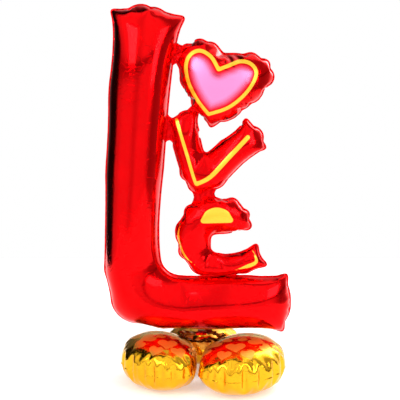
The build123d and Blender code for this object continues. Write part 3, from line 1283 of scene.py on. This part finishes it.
@dataclass
class NeckFoil:
    """The gathered foil that comes up between the lobes and holds the letters."""

    centre: Point2 = (0.005, -0.004)
    folds: tuple[tuple[float, int, float], ...] = (
        (0.075, 17, 1.6),
        (0.05, 9, -2.0),
        (0.03, 31, 0.0),
    )

    def build(self, finishes: Finishes) -> None:
        """Models the gathered collar.

        Args:
            finishes: The scene's materials.
        """
        low, high = joint_box(("base_neck",))
        bottom, top = low[2] - 0.004, high[2] - 0.002
        bpy.ops.object.select_all(action="DESELECT")
        bpy.ops.mesh.primitive_cylinder_add(
            vertices=120, radius=1.0, depth=1.0, end_fill_type="NOTHING", location=(0, 0, 0.5)
        )
        piece = bpy.context.object
        piece.name = "neck_foil"
        bpy.ops.object.transform_apply(location=True, rotation=False, scale=False)
        bpy.ops.object.mode_set(mode="EDIT")
        bpy.ops.mesh.select_all(action="SELECT")
        bpy.ops.mesh.subdivide(number_cuts=5)
        bpy.ops.object.mode_set(mode="OBJECT")
        half = (high - low) / 2
        draw = np.random.default_rng(SEED)
        phases = draw.uniform(0, 2 * math.pi, 4)
        for vertex in piece.data.vertices:
            angle = math.atan2(vertex.co.y, vertex.co.x)
            up = vertex.co.z
            wide = 1.0 - 0.22 * math.sin(math.pi * min(up * 1.15, 1)) + 0.05 * up
            fold = 0.0
            for (deep, count, lean), phase in zip(self.folds, phases):
                fold += deep * math.sin(count * angle + phase + lean * up)
            reach = wide * (1 + fold)
            vertex.co.x = self.centre[0] + math.cos(angle) * half[0] * reach
            vertex.co.y = self.centre[1] + math.sin(angle) * half[1] * reach
            lift = 0.006 * math.sin(5 * angle + phases[3]) * up
            vertex.co.z = bottom + up * (top - bottom - 0.007) + lift
        thicken(piece)
        smooth = piece.modifiers.new("smooth", "SUBSURF")
        smooth.levels = smooth.render_levels = 1
        piece.data.polygons.foreach_set("use_smooth", [True] * len(piece.data.polygons))
        # The neck foil's material has painted shade in its colour.
        piece.data.materials.append(finishes.foil(CRUSHED_GOLD_PAINTED_SHADE))
        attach(piece, "base")
        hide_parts("base_neck")
        LOG.info("%s made", piece.name)


@dataclass
class Web:
    """Flat foil between two chambers' welds."""

    name: str
    node: str
    low: Point2
    high: Point2
    bodies: tuple[str, str]
    ends: tuple[str, str]
    tuck: float = 0.004
    pinch: float = 0.22

    def nearest_run(self, chamber: Chamber) -> np.ndarray:
        """The longest stretch of a chamber's rim that lies in the web's window.

        Args:
            chamber: The chamber.

        Returns:
            The rim's points there, in order.
        """
        rim = chamber.rim
        x, z = rim[:, 0], rim[:, 2]
        use = (x > self.low[0]) & (x < self.high[0]) & (z > self.low[1]) & (z < self.high[1])
        stretches, current = [], []
        start = int(np.argmin(use))
        for step in range(len(rim)):
            index = (start + step) % len(rim)
            if use[index]:
                current.append(index)
            elif current:
                stretches.append(current)
                current = []
        if current:
            stretches.append(current)
        if not stretches:
            middle = (np.array(self.low) + np.array(self.high)) / 2
            near = int(np.argmin(np.linalg.norm(rim[:, [0, 2]] - middle, axis=1)))
            LOG.warning("%s: no rim of %s in its window", self.name, chamber.name)
            return rim[(near + np.arange(-3, 4)) % len(rim)]
        return rim[max(stretches, key=len)]

    def build(self, finishes: Finishes, first: Chamber, second: Chamber) -> None:
        """Fills the space between two rims.

        Args:
            finishes: The scene's materials.
            first: The chamber on the first body.
            second: The chamber on the second body.
        """
        count, rows = 14, 5
        one = self.resample(self.nearest_run(first), count)
        two = self.resample(self.nearest_run(second), count)
        straight = np.linalg.norm(one[0] - two[0]) + np.linalg.norm(one[-1] - two[-1])
        crossed = np.linalg.norm(one[0] - two[-1]) + np.linalg.norm(one[-1] - two[0])
        if straight > crossed:
            two = two[::-1]
        reach = two - one
        reach /= np.linalg.norm(reach, axis=1)[:, None]
        one, two = one - reach * self.tuck, two + reach * self.tuck
        points, faces = [], []
        for row in range(rows):
            share = row / (rows - 1)
            line = one * (1 - share) + two * share
            drawn = self.pinch * math.sin(math.pi * share)
            line = line + (line.mean(0) - line) * drawn
            sag = 0.0012 * math.sin(math.pi * share)
            wave = np.sin(np.arange(count) * 1.9 + row) * sag
            line[:, 1] = (line[:, 1] * 0.5) + wave
            points.append(line)
        for row in range(rows - 1):
            for col in range(count - 1):
                corner = row * count + col
                faces.append((corner, corner + 1, corner + count + 1, corner + count))
        piece = new_object(self.name, np.vstack(points), faces)
        thicken(piece)
        piece.data.polygons.foreach_set("use_smooth", [True] * len(piece.data.polygons))
        piece.data.materials.append(finishes.foil(PLAIN_RED))
        length = max(
            float(np.linalg.norm(np.diff(edge, axis=0), axis=1).sum()) for edge in (one, two)
        )
        area = sum(face.area for face in piece.data.polygons)
        across = max(area / length, 0.01)
        area = min(area, across * length)
        if self.bodies[0] == self.bodies[1]:
            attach(piece, self.bodies[0])
        else:
            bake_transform(piece)
        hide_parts(self.node)
        LOG.info("%s: %.3f m by %.3f m", self.name, length, across)

    @staticmethod
    def resample(line: np.ndarray, count: int) -> np.ndarray:
        """A line with a set number of points."""
        along = np.concatenate([[0], np.cumsum(np.linalg.norm(np.diff(line, axis=0), axis=1))])
        wanted = np.linspace(0, along[-1], count)
        return np.stack([np.interp(wanted, along, line[:, axis]) for axis in range(3)], 1)


WEBS = (
    Web(
        "web_l_heart", "l_to_heart_web", (-0.16, 1.18), (-0.02, 1.27),
        ("letters", "heart"), ("tall_letter", "heart"),
    ),
    Web(
        "web_l_v", "l_to_v_web", (-0.16, 0.90), (-0.085, 1.02),
        ("letters", "letters"), ("tall_letter", "letter_v"),
    ),
    Web(
        "web_v_heart", "heart_to_v_web", (-0.08, 0.97), (0.0, 1.05),
        ("letters", "heart"), ("letter_v", "heart"),
    ),
    Web(
        "web_v_e", "v_to_e_web", (-0.035, 0.66), (0.065, 0.77),
        ("letters", "small_e"), ("letter_v", "letter_e"),
    ),
    Web(
        "web_l_e", "e_to_l_web", (0.0, 0.38), (0.155, 0.415),
        ("letters", "small_e"), ("tall_letter", "letter_e"),
    ),
)


# ---- studio ----


@dataclass
class Studio:
    """The floor, the lights and the camera."""

    camera_place: tuple[float, float, float] = (0.0, -3.2, 1.4)
    camera_pitch: float = -12.42
    lens: float = 79.7
    floor_glow: float = 0.32

    def floor(self) -> None:
        """Lays the pale floor."""
        bpy.ops.object.select_all(action="DESELECT")
        bpy.ops.mesh.primitive_plane_add(size=3.2, location=(0, 0, -0.0005))
        floor = bpy.context.object
        floor.name = "floor"
        material = bpy.data.materials.new("pale_floor")
        material.use_nodes = True
        shader = material.node_tree.nodes["Principled BSDF"]
        make = Nodes(material.node_tree)
        grain = make.add("ShaderNodeTexNoise")
        make.join(make.place(), grain.inputs["Vector"])
        grain.inputs["Scale"].default_value = 3.0
        tint = make.blend(grain.outputs["Fac"], (0.84, 0.84, 0.84, 1), (0.87, 0.87, 0.87, 1))
        make.join(tint, shader.inputs["Base Color"])
        shader.inputs["Roughness"].default_value = 0.9
        shader.inputs["Specular IOR Level"].default_value = 0.1
        shader.inputs["Emission Color"].default_value = (1, 1, 1, 1)
        shader.inputs["Emission Strength"].default_value = self.floor_glow
        floor.data.materials.append(material)

    def soft_box(self, name: str, place: Point2, height: float, size: Point2, power: float) -> None:
        """One large soft light that faces the balloon.

        Args:
            name: Its name.
            place: Where it stands on the floor plan.
            height: The height of its middle.
            size: Its width and height.
            power: Its power in watts.
        """
        light = bpy.data.lights.new(name, "AREA")
        light.shape = "RECTANGLE"
        light.size, light.size_y = size
        light.energy = power
        lamp = bpy.data.objects.new(name, light)
        lamp.location = (*place, height)
        aim = Vector((0, 0, 0.75)) - lamp.location
        lamp.rotation_euler = aim.to_track_quat("-Z", "Y").to_euler()
        bpy.context.scene.collection.objects.link(lamp)

    def surroundings(self) -> None:
        """A soft room: bright in front, dark behind on the left, pale behind on the right."""
        world = bpy.data.worlds.new("room")
        bpy.context.scene.world = world
        world.use_nodes = True
        make = Nodes(world.node_tree)
        background = world.node_tree.nodes["Background"]
        way = make.add("ShaderNodeTexCoord").outputs["Generated"]
        parts = make.add("ShaderNodeSeparateXYZ")
        make.join(way, parts.inputs[0])
        behind = make.maths("MULTIPLY", parts.outputs["Y"], -1.0)
        angle = make.maths("ARCTAN2", parts.outputs["X"], behind)
        share = make.maths("ADD", make.maths("DIVIDE", angle, 2 * math.pi), 0.5)
        ramp = make.add("ShaderNodeValToRGB")
        ramp.color_ramp.interpolation = "EASE"
        stops = [
            (0.00, 0.60), (0.07, 0.12), (0.15, 0.01), (0.24, 0.01), (0.28, 0.85), (0.35, 1.15),
            (0.43, 1.15), (0.475, 0.85), (0.52, 1.20), (0.60, 1.15), (0.67, 0.38), (0.75, 0.50),
            (0.84, 1.7), (0.92, 1.2), (1.00, 0.60),
        ]
        elements = ramp.color_ramp.elements
        while len(elements) < len(stops):
            elements.new(0.5)
        for element, (place, level) in zip(elements, stops):
            element.position = place
            element.color = (level, level, level, 1)
        make.join(share, ramp.inputs[0])
        rise = make.spread(parts.outputs["Z"], -0.15, 0.5, 1.0, 1.15)
        notch = make.maths("ABSOLUTE", make.maths("SUBTRACT", parts.outputs["Z"], 0.065))
        rise = make.maths("MULTIPLY", rise, make.spread(notch, 0.025, 0.05, 0.3, 1.0))
        lit = make.add("ShaderNodeMix", data_type="RGBA", blend_type="MULTIPLY")
        lit.inputs[0].default_value = 1.0
        colours = [socket for socket in lit.inputs if socket.type == "RGBA"]
        make.join(ramp.outputs[0], colours[0])
        make.join(rise, colours[1])
        room = next(socket for socket in lit.outputs if socket.type == "RGBA")
        seen = make.add("ShaderNodeLightPath").outputs["Is Camera Ray"]
        make.join(make.blend(seen, room, (1.0, 1.0, 1.0, 1)), background.inputs["Color"])

    def camera(self) -> None:
        """Sets up the camera."""
        data = bpy.data.cameras.new("camera")
        data.lens = self.lens
        camera = bpy.data.objects.new("camera", data)
        camera.location = self.camera_place
        camera.rotation_euler = (math.radians(90 + self.camera_pitch), 0, 0)
        bpy.context.scene.collection.objects.link(camera)
        bpy.context.scene.camera = camera

    def build(self) -> None:
        """Sets up everything round the balloon."""
        self.floor()
        self.soft_box("key", (-1.5, -2.2), 2.2, (1.2, 1.6), 35)
        self.soft_box("fill", (1.8, -2.0), 1.6, (0.8, 1.8), 22)
        self.soft_box("rim", (1.6, 1.4), 1.9, (0.7, 1.6), 30)
        self.surroundings()
        self.camera()
        bpy.context.scene.view_settings.view_transform = "Standard"


def dress_cad_nodes(finishes: Finishes) -> None:
    """Gives the CAD pieces that stay their foil.

    Args:
        finishes: The scene's materials.
    """
    kept = {
        "letters_fill_tail": PLAIN_RED,
        # The valve film's material has painted shade in its colour.
        "letters_fill_valve": CLEAR_FILM_PAINTED_SHADE,
        "base_fill_tail": PLAIN_GOLD,
        "base_fill_valve": CLEAR_FILM_PAINTED_SHADE,
    }
    for node, finish in kept.items():
        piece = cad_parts[node]
        for place in piece.material_slots:
            place.material = finishes.foil(finish)
    LOG.info("dressed %d CAD pieces", len(kept))


def main() -> None:
    """Builds the balloon and its studio."""
    logging.basicConfig(level=logging.INFO, format="%(name)s: %(message)s")
    Studio().build()
    finishes = Finishes()
    chambers = {
        letter.name: letter.build(finishes) for letter in (TALL_L, LETTER_V, LETTER_E, HEART)
    }
    Base().build(finishes)
    NeckFoil().build(finishes)
    for web in WEBS:
        web.build(finishes, *(chambers[name] for name in web.ends))
    dress_cad_nodes(finishes)


if __name__ == "__main__":
    main()
